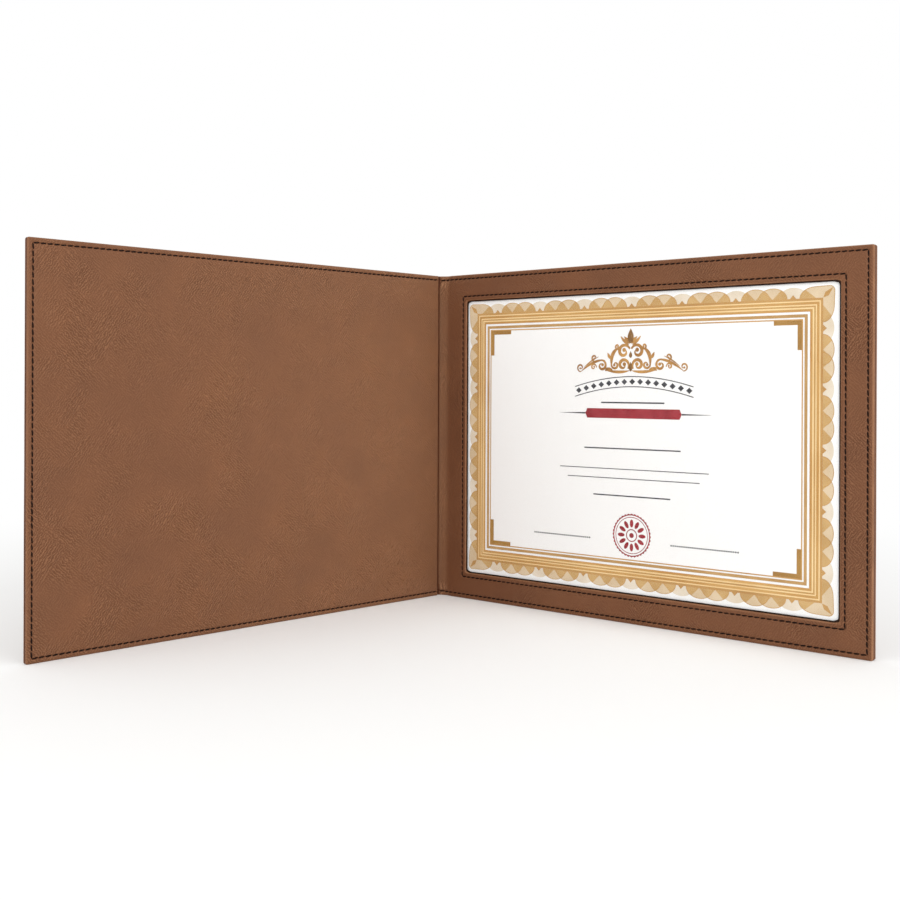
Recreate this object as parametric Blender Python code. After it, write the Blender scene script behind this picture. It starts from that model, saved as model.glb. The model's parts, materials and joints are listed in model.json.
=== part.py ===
# Certificate folder: two leatherette covers on a creased spine, the back one with a windowed pocket.
# The folder stands open on its bottom edges, seen from -Y, with the spine at +Y.
# Each cover is modelled in the frame of its crease: x away from the spine, y up, z out of the inner face.

import math

import bmesh
import bpy

# Driving dimensions, in metres
REST_TURN = math.radians(42.0)  # turn of each crease from lying flat
LEATHERETTE = 0.0007            # outer skin, linings and frame facing
PADDING = 0.0006                # foam under the outer skin
BOARD = 0.0018                  # greyboard of the covers
SPINE_CARD = 0.0006
BACKING = 0.0002                # paper at the back of the pocket
FILM = 0.0002                   # clear film behind the frame
FRAME_CARD = 0.0006
SHEET_WIDTH = 0.2794            # letter-size certificate
SHEET_HEIGHT = 0.2159
SHEET_THICKNESS = 0.00025
SIDE_MARGIN = 0.0127            # sheet to the crease, and to the cover's free edge
END_MARGIN = 0.00635            # cover's height beyond the sheet, shared by top and bottom
FRAME_BORDER = 0.0184           # leatherette around the window
WINDOW_CORNER = 0.0018          # radius of the window's corners
FILM_LAP = 0.009                # film hidden behind the border
EDGE_ROUND = 0.0010             # radius along the turned edges
COVER_CORNER = 0.0016           # radius of the covers' corners
STITCH_INSET = 0.0030           # seam to the cover's edge
WINDOW_STITCH_INSET = 0.0030    # seam to the window's edge
THREAD = 0.0003                 # thread diameter

# Clearances, in metres
GLUE_LINE = 0.0001              # between bonded layers
SHEET_PLAY = 0.00015            # each side of the certificate
EDGE_CLEARANCE = 0.0003         # stiffeners to the turned edges around them
SEAM_GAP = 0.0003               # where the turned edges meet
CREASE_GAP = 0.0003             # between the skins on the crease
HINGE_CLEARANCE = 0.0003        # covers to spine
CLOSED_CLEARANCE = 0.0010       # between the inner faces of the closed covers

# Facets
ROUND_SEGMENTS = 3
THREAD_RESOLUTION = 2


def layer(below, gap, thickness):
    low = below[1] + gap
    return (low, low + thickness)


# Layers from the outer skin inwards, as (low, high) levels
skin = (-LEATHERETTE, 0.0)
padding = layer(skin, GLUE_LINE, PADDING)
board = layer(padding, GLUE_LINE, BOARD)
frontLining = layer(board, GLUE_LINE, LEATHERETTE)
backing = layer(board, GLUE_LINE, BACKING)
sheet = layer(backing, SHEET_PLAY, SHEET_THICKNESS)
film = layer(sheet, SHEET_PLAY, FILM)
frameCard = layer(film, 2 * GLUE_LINE + THREAD, FRAME_CARD)
facing = layer(frameCard, GLUE_LINE, LEATHERETTE)
spineCard = layer(skin, GLUE_LINE, SPINE_CARD)
spineLining = layer(spineCard, GLUE_LINE, LEATHERETTE)

# Places that follow from them
panelWidth = SHEET_WIDTH + 2 * SIDE_MARGIN    # crease to free edge of each cover
panelHeight = SHEET_HEIGHT + 2 * END_MARGIN   # bottom edge to top edge
seamDepth = THREAD + 2 * GLUE_LINE
spineWidth = frontLining[1] + facing[1] + CLOSED_CLEARANCE
spineHalf = (spineWidth - CREASE_GAP) / 2
stackStart = spineLining[1] + HINGE_CLEARANCE
innerEdge = LEATHERETTE + EDGE_CLEARANCE
windowX = (FRAME_BORDER, panelWidth - FRAME_BORDER)
windowY = (FRAME_BORDER, panelHeight - FRAME_BORDER)
reachForward = ((panelWidth - EDGE_ROUND) * math.sin(REST_TURN)
                + (facing[1] - EDGE_ROUND) * math.cos(REST_TURN) + EDGE_ROUND)
spineY = (reachForward - LEATHERETTE) / 2


def grown(span, margin):
    return (span[0] - margin, span[1] + margin)


def parting(inner):
    # Half of the seam between the two turned edges, around the middle of the cover's thickness
    middle = (skin[0] + inner[1]) / 2
    return (middle - SEAM_GAP / 2, middle + SEAM_GAP / 2)


def clearScene():
    for obj in list(bpy.data.objects):
        bpy.data.objects.remove(obj, do_unlink=True)


def newCollection(name):
    collection = bpy.data.collections.new(name)
    bpy.context.scene.collection.children.link(collection)
    return collection


def finish(name, color, roughness, transmission=0.0):
    material = bpy.data.materials.new(name)
    material.use_nodes = True
    shader = material.node_tree.nodes["Principled BSDF"]
    shader.inputs["Base Color"].default_value = (*color, 1.0)
    shader.inputs["Roughness"].default_value = roughness
    shader.inputs["Metallic"].default_value = 0.0
    shader.inputs["Transmission Weight"].default_value = transmission
    material.diffuse_color = (*color, 1.0)
    return material


def creaseFrame(name, x, turn):
    # An empty on a crease's axis, turned so that its z leaves the inner face
    empty = bpy.data.objects.new(name, None)
    empty.location = (x, spineY, 0.0)
    empty.rotation_euler = (math.pi / 2, 0.0, turn)
    folder.objects.link(empty)
    return empty


def place(name, mesh, frame, collection):
    obj = bpy.data.objects.new(name, mesh)
    collection.objects.link(obj)
    obj.parent = frame
    return obj


def addBox(name, frame, x, y, z, cornerRadius=0.0, roundedZ=None, roundRadius=0.0, openX=None,
           collection=None):
    # A box between two corners. The edges along z get cornerRadius, and the rim at roundedZ gets
    # roundRadius, both except at openX, the side that faces the crease.
    bm = bmesh.new()
    bmesh.ops.create_cube(bm, size=1.0)
    size = (x[1] - x[0], y[1] - y[0], z[1] - z[0])
    bmesh.ops.scale(bm, verts=bm.verts, vec=size)
    bmesh.ops.translate(bm, verts=bm.verts, vec=[sum(span) / 2 for span in (x, y, z)])

    def keeps(edge):
        return openX is None or any(abs(v.co.x - openX) > size[0] / 2 for v in edge.verts)

    def along(edge, axis):
        return abs(edge.verts[0].co[axis] - edge.verts[1].co[axis]) > size[axis] / 2

    if cornerRadius:
        corners = [e for e in bm.edges if along(e, 2) and keeps(e)]
        bmesh.ops.bevel(bm, geom=corners, offset=cornerRadius, segments=ROUND_SEGMENTS,
                        profile=0.5, affect="EDGES")
    if roundedZ is not None:
        rim = [e for e in bm.edges if all(abs(v.co.z - roundedZ) < size[2] / 4 for v in e.verts)
               and keeps(e)]
        bmesh.ops.bevel(bm, geom=rim, offset=roundRadius, segments=ROUND_SEGMENTS,
                        profile=0.5, affect="EDGES")
    bmesh.ops.recalc_face_normals(bm, faces=bm.faces)
    mesh = bpy.data.meshes.new(name)
    bm.to_mesh(mesh)
    bm.free()
    return place(name, mesh, frame, collection or folder)


def asTool(obj):
    obj.hide_render = True
    obj.display_type = "WIRE"
    return obj


def combine(obj, tool, operation):
    modifier = obj.modifiers.new(tool.name, "BOOLEAN")
    modifier.operation = operation
    modifier.solver = "EXACT"
    modifier.object = asTool(tool)


def addTool(name, frame, x, y, z, cornerRadius=0.0):
    return addBox(name, frame, x, y, z, cornerRadius, collection=cutters)


def addSeam(name, cloth, points, face, inward, closed=False):
    # A thread along the points, sunk just below the face of the sheet that it is sewn through
    sunk = face + inward * (GLUE_LINE + THREAD / 2)
    channelZ = tuple(sorted((face + inward * seamDepth, face - inward * seamDepth)))
    ends = points[1:] + points[:1] if closed else points[1:]
    for number, (start, end) in enumerate(zip(points, ends)):
        channelX, channelY = (grown(tuple(sorted(pair)), seamDepth / 2) for pair in zip(start, end))
        channel = addTool(name + "_channel_" + str(number), cloth.parent, channelX, channelY, channelZ)
        combine(cloth, channel, "DIFFERENCE")
    return addThread(name, cloth.parent, [(x, y, sunk) for x, y in points], closed)


def addThread(name, frame, points, closed=False):
    curve = bpy.data.curves.new(name, "CURVE")
    curve.dimensions = "3D"
    curve.bevel_depth = THREAD / 2
    curve.bevel_resolution = THREAD_RESOLUTION
    curve.use_fill_caps = True
    spline = curve.splines.new("POLY")
    spline.points.add(len(points) - 1)
    for point, spot in zip(spline.points, points):
        point.co = (*spot, 1.0)
    spline.use_cyclic_u = closed
    return place(name, curve, frame, folder)


def panelX(side, start, end):
    # A span along the cover as local x: side is 1 for the back cover and -1 for the front one
    return tuple(sorted((side * start, side * end)))


def addStiffener(name, frame, side, z):
    x = panelX(side, stackStart, panelWidth - innerEdge)
    y = grown((0.0, panelHeight), -innerEdge)
    return addBox(name, frame, x, y, z)


def addTurnedSheet(name, frame, side, face, rim, start):
    # Leatherette with its three free edges turned over, as a tray: face is the outer level, rim the
    # level where the turned edges end
    inward = math.copysign(1.0, rim - face)
    z = tuple(sorted((face, rim)))
    under = face + inward * LEATHERETTE
    past = rim + inward * LEATHERETTE
    full = panelX(side, start, panelWidth)
    body = addBox(name, frame, full, (0.0, panelHeight), z, COVER_CORNER, face, EDGE_ROUND,
                  openX=side * start)
    cavityZ = tuple(sorted((under, past)))
    cavityX = panelX(side, start - LEATHERETTE, panelWidth - LEATHERETTE)
    cavityY = grown((0.0, panelHeight), -LEATHERETTE)
    combine(body, addTool(name + "_hollow", frame, cavityX, cavityY, cavityZ), "DIFFERENCE")
    if start < stackStart:
        reliefX = panelX(side, start - LEATHERETTE, stackStart)
        reliefY = grown((0.0, panelHeight), LEATHERETTE)
        combine(body, addTool(name + "_relief", frame, reliefX, reliefY, cavityZ), "DIFFERENCE")
    return body


def addSpineStrip(name, frame, face, rim):
    # The spine's own stretch of a turned sheet, open at both creases
    inward = math.copysign(1.0, rim - face)
    x = (-spineHalf, spineHalf)
    edgeRound = min(EDGE_ROUND, abs(rim - face) * 0.75)
    body = addBox(name, frame, x, (0.0, panelHeight), tuple(sorted((face, rim))))
    bevelStripEdges(body, face, edgeRound)
    cavityZ = tuple(sorted((face + inward * LEATHERETTE, rim + inward * LEATHERETTE)))
    cavityY = grown((0.0, panelHeight), -LEATHERETTE)
    cavity = addTool(name + "_hollow", frame, grown(x, LEATHERETTE), cavityY, cavityZ)
    combine(body, cavity, "DIFFERENCE")
    return body


def bevelStripEdges(body, face, radius):
    # Rounds the top and bottom edges of the strip on its outer face
    bm = bmesh.new()
    bm.from_mesh(body.data)
    edges = [e for e in bm.edges
             if abs(e.verts[0].co.x - e.verts[1].co.x) > spineHalf
             and all(abs(v.co.z - face) < radius / 2 for v in e.verts)]
    bmesh.ops.bevel(bm, geom=edges, offset=radius, segments=ROUND_SEGMENTS, profile=0.5,
                    affect="EDGES")
    bm.to_mesh(body.data)
    bm.free()


def edgeSeam(side, start):
    # The seam's route: out along the bottom, up the free edge and back along the top
    low = STITCH_INSET
    high = panelHeight - STITCH_INSET
    far = side * (panelWidth - STITCH_INSET)
    near = side * start
    return [(near, low), (far, low), (far, high), (near, high)]


def addCover(prefix, frame, side, inner, innerName):
    # The parts that both covers share, around the sheet that is the cover's inner face
    split = parting(inner)
    outer = addTurnedSheet(prefix + "_cover_skin", frame, side, skin[0], split[0], CREASE_GAP / 2)
    face = addTurnedSheet(innerName, frame, side, inner[1], split[1], stackStart)
    addStiffener(prefix + "_padding", frame, side, padding)
    addStiffener(prefix + "_board", frame, side, board)
    addSeam(prefix + "_edge_thread", face, edgeSeam(side, stackStart), inner[1], -1)
    addSeam(prefix + "_edge_bobbin_thread", outer, edgeSeam(side, CREASE_GAP / 2), skin[0], 1)
    return face


def addFrame(face):
    # Makes the back cover's inner face a windowed frame, over its card and the clear film
    frame = face.parent
    lip = addTool("window_lip", frame, grown(windowX, LEATHERETTE), grown(windowY, LEATHERETTE),
                  (frameCard[0], facing[1] - LEATHERETTE / 2), WINDOW_CORNER + LEATHERETTE)
    combine(face, lip, "UNION")
    opening = addTool("window_opening", frame, windowX, windowY,
                      (film[1], facing[1] + LEATHERETTE), WINDOW_CORNER)
    combine(face, opening, "DIFFERENCE")

    card = addStiffener("frame_card", frame, 1, frameCard)
    margin = LEATHERETTE + EDGE_CLEARANCE
    cardOpening = addTool("card_opening", frame, grown(windowX, margin), grown(windowY, margin),
                          grown(frameCard, FRAME_CARD), WINDOW_CORNER + margin)
    combine(card, cardOpening, "DIFFERENCE")
    addBox("window_film", frame, grown(windowX, FILM_LAP), grown(windowY, FILM_LAP), film)

    seamX = grown(windowX, WINDOW_STITCH_INSET)
    seamY = grown(windowY, WINDOW_STITCH_INSET)
    loop = [(seamX[0], seamY[0]), (seamX[1], seamY[0]), (seamX[1], seamY[1]), (seamX[0], seamY[1])]
    addSeam("window_thread", face, loop, facing[1], -1, closed=True)
    bobbinZ = frameCard[0] - GLUE_LINE - THREAD / 2
    addThread("window_bobbin_thread", frame, [(x, y, bobbinZ) for x, y in loop], closed=True)


def addSpine(frame):
    split = parting(spineLining)
    outer = addSpineStrip("spine_skin", frame, skin[0], split[0])
    inner = addSpineStrip("spine_lining", frame, spineLining[1], split[1])
    cardX = grown((-spineHalf, spineHalf), -EDGE_CLEARANCE)
    addBox("spine_card", frame, cardX, grown((0.0, panelHeight), -innerEdge), spineCard)
    heights = {"bottom": STITCH_INSET, "top": panelHeight - STITCH_INSET}
    for end, y in heights.items():
        run = [(-spineHalf, y), (spineHalf, y)]
        addSeam("spine_" + end + "_thread", inner, run, spineLining[1], -1)
        addSeam("spine_" + end + "_bobbin_thread", outer, run, skin[0], 1)


def addPocket(frame):
    # The certificate stands on the pocket's bottom seam, in the middle of the window's width
    addStiffener("back_lining", frame, 1, backing)
    middle = sum(windowX) / 2
    bottom = STITCH_INSET + THREAD / 2 + EDGE_CLEARANCE
    addBox("certificate_sheet", frame, (middle - SHEET_WIDTH / 2, middle + SHEET_WIDTH / 2),
           (bottom, bottom + SHEET_HEIGHT), sheet)


# Colours are linear
finishes = {
    "leatherette": ((0.225, 0.105, 0.058), 0.55, 0.0),
    "thread": ((0.022, 0.012, 0.009), 0.6, 0.0),
    "foam": ((0.75, 0.74, 0.70), 0.9, 0.0),
    "greyboard": ((0.33, 0.31, 0.27), 0.9, 0.0),
    "card": ((0.60, 0.58, 0.53), 0.85, 0.0),
    "paper": ((0.86, 0.86, 0.84), 0.7, 0.0),
    "film": ((0.95, 0.96, 0.97), 0.08, 0.95),
}
finishByWord = {"thread": "thread", "padding": "foam", "board": "greyboard", "card": "card",
                "film": "film", "sheet": "paper", "back_lining": "paper"}

clearScene()
folder = newCollection("certificate_folder")
cutters = newCollection("certificate_folder_cutters")
backCrease = creaseFrame("back_crease", spineWidth / 2, -REST_TURN)
frontCrease = creaseFrame("front_crease", -spineWidth / 2, REST_TURN)
spineMiddle = creaseFrame("spine_middle", 0.0, 0.0)

addCover("front", frontCrease, -1, frontLining, "front_lining")
addSpine(spineMiddle)
addFrame(addCover("back", backCrease, 1, facing, "frame_facing"))
addPocket(backCrease)

for obj in [o for o in folder.objects if o.type != "EMPTY"]:
    words = [word for word in finishByWord if obj.name.endswith(word)]
    look = finishByWord[words[0]] if words else "leatherette"
    color, roughness, transmission = finishes[look]
    obj.data.materials.append(finish(obj.name + "_" + look, color, roughness, transmission))
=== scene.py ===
import json
import math
import bpy
import bmesh
from mathutils import Matrix, Vector, noise
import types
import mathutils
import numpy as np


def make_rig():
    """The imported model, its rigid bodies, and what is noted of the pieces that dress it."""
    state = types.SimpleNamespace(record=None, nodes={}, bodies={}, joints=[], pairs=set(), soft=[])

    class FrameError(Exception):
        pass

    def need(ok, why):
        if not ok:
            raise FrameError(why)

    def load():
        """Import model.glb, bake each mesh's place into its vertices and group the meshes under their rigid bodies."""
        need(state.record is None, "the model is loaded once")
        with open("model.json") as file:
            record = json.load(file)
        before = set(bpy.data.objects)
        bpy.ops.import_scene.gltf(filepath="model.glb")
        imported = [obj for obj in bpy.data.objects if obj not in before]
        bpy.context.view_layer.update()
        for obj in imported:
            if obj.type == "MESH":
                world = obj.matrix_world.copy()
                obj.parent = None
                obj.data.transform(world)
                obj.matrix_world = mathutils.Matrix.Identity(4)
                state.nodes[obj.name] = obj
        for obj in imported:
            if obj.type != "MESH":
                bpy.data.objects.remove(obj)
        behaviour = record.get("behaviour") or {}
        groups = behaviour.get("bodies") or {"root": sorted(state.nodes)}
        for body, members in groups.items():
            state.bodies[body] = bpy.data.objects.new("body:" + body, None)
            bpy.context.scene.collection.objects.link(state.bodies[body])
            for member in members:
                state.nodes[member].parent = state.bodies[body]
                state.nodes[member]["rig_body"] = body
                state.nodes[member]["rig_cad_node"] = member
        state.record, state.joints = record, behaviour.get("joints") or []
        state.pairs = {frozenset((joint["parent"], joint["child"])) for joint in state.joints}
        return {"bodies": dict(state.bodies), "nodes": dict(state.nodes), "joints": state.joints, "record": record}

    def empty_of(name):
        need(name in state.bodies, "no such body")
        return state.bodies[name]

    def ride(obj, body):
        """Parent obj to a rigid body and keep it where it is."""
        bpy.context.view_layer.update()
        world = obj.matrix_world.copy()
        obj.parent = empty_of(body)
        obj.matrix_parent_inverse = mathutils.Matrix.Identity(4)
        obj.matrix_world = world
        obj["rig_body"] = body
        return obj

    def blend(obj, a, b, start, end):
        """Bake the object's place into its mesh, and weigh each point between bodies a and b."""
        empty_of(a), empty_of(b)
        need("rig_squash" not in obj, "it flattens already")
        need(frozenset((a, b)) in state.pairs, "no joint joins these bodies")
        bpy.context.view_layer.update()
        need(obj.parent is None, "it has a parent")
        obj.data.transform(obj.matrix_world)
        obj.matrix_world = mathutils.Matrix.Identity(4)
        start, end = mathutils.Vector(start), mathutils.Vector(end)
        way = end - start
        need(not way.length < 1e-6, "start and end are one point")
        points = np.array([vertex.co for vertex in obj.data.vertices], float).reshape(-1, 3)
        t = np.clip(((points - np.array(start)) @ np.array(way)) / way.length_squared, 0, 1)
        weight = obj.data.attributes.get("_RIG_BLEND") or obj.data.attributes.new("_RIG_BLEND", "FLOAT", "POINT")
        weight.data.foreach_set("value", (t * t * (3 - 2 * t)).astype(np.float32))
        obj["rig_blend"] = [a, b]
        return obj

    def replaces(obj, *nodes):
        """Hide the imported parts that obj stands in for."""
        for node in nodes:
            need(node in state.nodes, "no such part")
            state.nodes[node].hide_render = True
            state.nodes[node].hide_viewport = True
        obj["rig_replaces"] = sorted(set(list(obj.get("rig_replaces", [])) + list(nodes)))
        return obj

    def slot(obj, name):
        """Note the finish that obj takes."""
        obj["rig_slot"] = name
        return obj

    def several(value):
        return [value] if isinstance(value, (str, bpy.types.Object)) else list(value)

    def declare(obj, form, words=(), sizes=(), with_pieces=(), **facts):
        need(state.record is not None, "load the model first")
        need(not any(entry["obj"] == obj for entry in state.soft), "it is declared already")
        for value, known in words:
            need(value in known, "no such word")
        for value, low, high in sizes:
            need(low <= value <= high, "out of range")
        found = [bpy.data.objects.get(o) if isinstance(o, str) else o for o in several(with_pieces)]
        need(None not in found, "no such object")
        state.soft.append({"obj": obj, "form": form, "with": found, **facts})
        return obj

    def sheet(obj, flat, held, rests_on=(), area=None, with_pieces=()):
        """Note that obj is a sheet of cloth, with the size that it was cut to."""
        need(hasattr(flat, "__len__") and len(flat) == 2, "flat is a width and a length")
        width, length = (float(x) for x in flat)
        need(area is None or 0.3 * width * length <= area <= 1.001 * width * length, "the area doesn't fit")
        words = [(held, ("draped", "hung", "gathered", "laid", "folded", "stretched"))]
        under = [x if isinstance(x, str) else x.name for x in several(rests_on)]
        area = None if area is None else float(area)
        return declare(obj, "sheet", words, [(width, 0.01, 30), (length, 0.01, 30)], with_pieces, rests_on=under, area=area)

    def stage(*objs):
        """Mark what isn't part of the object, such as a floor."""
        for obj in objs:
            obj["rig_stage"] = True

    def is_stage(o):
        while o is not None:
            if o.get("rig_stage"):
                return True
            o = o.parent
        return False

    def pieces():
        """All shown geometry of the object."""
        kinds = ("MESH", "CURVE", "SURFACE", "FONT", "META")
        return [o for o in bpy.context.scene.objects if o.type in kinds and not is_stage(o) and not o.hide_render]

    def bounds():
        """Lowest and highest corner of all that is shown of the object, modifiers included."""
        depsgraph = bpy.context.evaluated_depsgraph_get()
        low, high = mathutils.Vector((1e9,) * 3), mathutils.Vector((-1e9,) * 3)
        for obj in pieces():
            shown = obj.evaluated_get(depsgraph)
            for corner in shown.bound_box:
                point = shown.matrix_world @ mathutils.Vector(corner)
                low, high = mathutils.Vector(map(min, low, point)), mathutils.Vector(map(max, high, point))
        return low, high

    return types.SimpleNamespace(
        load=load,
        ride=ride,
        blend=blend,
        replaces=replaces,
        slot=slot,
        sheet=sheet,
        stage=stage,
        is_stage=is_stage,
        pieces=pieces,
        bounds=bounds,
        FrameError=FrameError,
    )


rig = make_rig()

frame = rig.load()
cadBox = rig.bounds()
scene = bpy.context.scene
nodes = frame["nodes"]
mm = 0.001  # everything below is written in millimetres and placed in metres
print("frame loaded:", len(nodes), "solids")

# Axes of the folder, read from its joints
joints = {joint["name"]: joint for joint in frame["joints"]}
creaseX = joints["back_crease"]["pos_m"][0] / mm
creaseY = joints["back_crease"]["pos_m"][1] / mm
slideAxis = joints["certificate_slide"]["axis"]
across = Vector((-slideAxis[0], -slideAxis[1]))  # along the back cover in plan, away from its crease
inward = Vector((across.y, -across.x))  # out of the back cover's inner face
endOfCover = 5.0  # from here on in, a cover's leather is a plain grid
front = -1
back = 1


def onCover(u, v):  # plan point of the back cover, u along it and v above its crease axis
    return Vector((creaseX, creaseY)) + across * u + inward * v


def onSpine(x, w):  # plan point of the spine, w in front of the crease axes
    return Vector((x, creaseY - w))


def inSpace(plan, h, side=back):  # the front cover mirrors the back one
    return Vector((side * plan.x * mm, plan.y * mm, h * mm))


def flat(direction, side):
    return Vector((side * direction.x, direction.y, 0.0))


def coverSpan(node, side):  # lowest and highest (u, h, v) of a solid in its cover's axes
    points = []
    for vertex in nodes[node].data.vertices:
        plan = Vector((side * vertex.co.x / mm - creaseX, vertex.co.y / mm - creaseY))
        points.append((plan.dot(across), vertex.co.z / mm, plan.dot(inward)))
    return [min(values) for values in zip(*points)], [max(values) for values in zip(*points)]


liningLow, liningHigh = coverSpan("front_lining", front)
facingLow, facingHigh = coverSpan("frame_facing", back)
skinLow, skinHigh = {}, {}
for side, node in ((front, "front_cover_skin"), (back, "back_cover_skin")):
    skinLow[side], skinHigh[side] = coverSpan(node, side)
coverWidth, coverHeight = facingHigh[0], facingHigh[1]
skinFace = skinLow[back][2]
sheetFace = coverSpan("certificate_sheet", back)[1][2]


# Colour and node helpers
def linear(hexColour):
    channels = [int(hexColour[i:i + 2], 16) / 255 for i in (0, 2, 4)]
    channels = [c / 12.92 if c <= 0.04045 else ((c + 0.055) / 1.055) ** 2.4 for c in channels]
    return (*channels, 1.0)


def feed(tree, node, inputs):  # links a socket to an output, or sets its constant
    for socket, value in inputs.items():
        if isinstance(value, bpy.types.NodeSocket):
            tree.links.new(value, node.inputs[socket])
        else:
            node.inputs[socket].default_value = value


def addNode(tree, kind, inputs, **settings):
    node = tree.nodes.new(kind)
    for name, value in settings.items():
        setattr(node, name, value)
    feed(tree, node, inputs)
    return node


def newMaterial(name):
    material = bpy.data.materials.new(name)
    material.use_nodes = True
    return material, material.node_tree, material.node_tree.nodes["Principled BSDF"]


waveRepeat = math.tau / 20  # straight bands of a wave texture of scale 1 repeat over this length


# Leatherette: embossed PU film on cloth, semi-matt. It gives soft brown clouds, fine wrinkle grain that
# comes and goes in patches, paler edges where it is rolled over the boards (rubbed wear with a painted
# highlight), and painted shade from the shade attribute. The wrinkle lines lie about 1.4 mm apart, near the
# finest that the render shows.
def leatherette(name, values):
    material, tree, shader = newMaterial(name)
    uv = addNode(tree, "ShaderNodeUVMap", {}, uv_map="leather").outputs["UV"]
    clouds = {}
    for kind, detail, fineness in (("cloud", 2.0, 0.45), ("mottle", 3.0, 0.5), ("patch", 3.0, 0.5),
                                   ("turn", 0.0, 0.5)):
        clouds[kind] = addNode(tree, "ShaderNodeTexNoise", {
            "Vector": uv, "Scale": 1 / (values[kind + "Size"] * mm), "Detail": detail,
            "Roughness": fineness}).outputs["Fac"]
    pores = addNode(tree, "ShaderNodeTexVoronoi", {
        "Vector": uv, "Scale": 1 / (values["poreSize"] * mm)}, feature="SMOOTH_F1").outputs["Distance"]
    shade, wearAndHighlight = [addNode(tree, "ShaderNodeAttribute", {}, attribute_name=kind).outputs["Fac"]
                   for kind in ("shade", "wearAndHighlight")]
    # Grain: wrinkle lines at two slants that take turns
    grains = []
    for slant in values["grainSlants"]:
        slanted = addNode(tree, "ShaderNodeMapping", {
            "Vector": uv, "Rotation": (0, 0, math.radians(slant))}, vector_type="TEXTURE").outputs["Vector"]
        grains.append(addNode(tree, "ShaderNodeTexWave", {
            "Vector": slanted, "Scale": waveRepeat / (values["grainWidth"] * mm),
            "Distortion": values["grainBend"], "Detail": 2.0, "Detail Scale": 2.0,
            "Detail Roughness": 0.6}).outputs["Fac"])
    turning = addNode(tree, "ShaderNodeMapRange", {
        "Value": clouds["turn"], "From Min": 0.44, "From Max": 0.56}).outputs["Result"]
    grain = addNode(tree, "ShaderNodeMix", {
        "Factor": turning, "A": grains[0], "B": grains[1]}).outputs["Result"]
    patchy = addNode(tree, "ShaderNodeMapRange", {
        "Value": clouds["patch"], "From Min": 0.4, "From Max": 0.62, "To Min": 0.35, "To Max": 1.0},
        interpolation_type="SMOOTHSTEP").outputs["Result"]
    # What is read, from where to where, and the shares that this gives
    readings = {
        "cloud": (clouds["cloud"], (0.3, 0.7), (0.0, 1.0)),
        "mottle": (clouds["mottle"], (0.35, 0.75), (0.0, values["mottleDepth"])),
        "rubbedAndLit": (clouds["mottle"], (0.3, 0.7), (0.35, 1.0)),
        "rough": (clouds["mottle"], (0.3, 0.7), (values["roughness"] - 0.05, values["roughness"] + 0.06)),
        "valley": (grain, (0.0, 0.5), (values["grainDepth"], 0.0)),
        "ridge": (grain, (0.5, 1.0), (0.0, values["ridgeLift"])),
        "line": (shade, (1.0, 2.0), (0.0, 1.0))}
    shares = {"fold": shade, "wearAndHighlight": wearAndHighlight, "grain": grain}
    for kind, (read, begin, end) in readings.items():
        shares[kind] = addNode(tree, "ShaderNodeMapRange", {
            "Value": read, "From Min": begin[0], "From Max": begin[1], "To Min": end[0],
            "To Max": end[1]}).outputs["Result"]
    for kind, by in (("valley", patchy), ("ridge", patchy), ("grain", patchy), ("wearAndHighlight", shares["rubbedAndLit"])):
        shares[kind] = addNode(tree, "ShaderNodeMath", {
            0: shares[kind], 1: by}, operation="MULTIPLY").outputs[0]
    # Clouds, mottling and the grain's darker valleys and lighter ridges, then painted shade: darker by the fold,
    # almost black where two edges part; then paler on the rolled edges, rubbed wear with a painted highlight
    colour = linear(values["dark"])
    for kind, tone in (("cloud", "light"), ("mottle", "mottleTone"), ("valley", "grainTone"),
                       ("ridge", "ridgeTone"), ("fold", "paintedShadeTone"), ("line", "deepShadeTone"),
                       ("wearAndHighlight", "wearAndHighlightTone")):
        colour = addNode(tree, "ShaderNodeMix", {
            "Factor": shares[kind], "A": colour, "B": linear(values[tone])},
            data_type="RGBA").outputs["Result"]
    height = addNode(tree, "ShaderNodeMath", {
        0: pores, 1: values["poreShare"], 2: shares["grain"]}, operation="MULTIPLY_ADD").outputs[0]
    bump = addNode(tree, "ShaderNodeBump", {
        "Strength": values["bump"], "Distance": values["grainHeight"] * mm, "Height": height})
    feed(tree, shader, {
        "Base Color": colour, "Roughness": shares["rough"], "Normal": bump.outputs["Normal"],
        "IOR": 1.48, "Specular IOR Level": 0.22})
    return material


# Tones of painted shade: one for the fold and the turned ends, a near-black one for gaps; and one for rubbed wear with
# a painted highlight
leather = {
    "dark": "7a533a", "light": "875b3e", "cloudSize": 44, "mottleTone": "724f3c", "mottleSize": 15,
    "mottleDepth": 0.26, "patchSize": 42, "grainWidth": 1.42, "grainSlants": (48, -35), "grainBend": 8.0,
    "turnSize": 18, "grainTone": "553520", "grainDepth": 0.5, "ridgeTone": "a97a58", "ridgeLift": 0.48,
    "grainHeight": 0.35, "poreSize": 1.2, "poreShare": 0.25, "bump": 0.7, "paintedShadeTone": "582a10",
    "deepShadeTone": "1c0d06", "wearAndHighlightTone": "b5845f", "roughness": 0.58}
innerLeatherette = leatherette("inner_pu_leatherette", leather)
outerLeatherette = leatherette("outer_pu_leatherette", {
    **leather, "dark": "764d34", "light": "84593b", "mottleDepth": 0.1, "roughness": 0.54})


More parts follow.
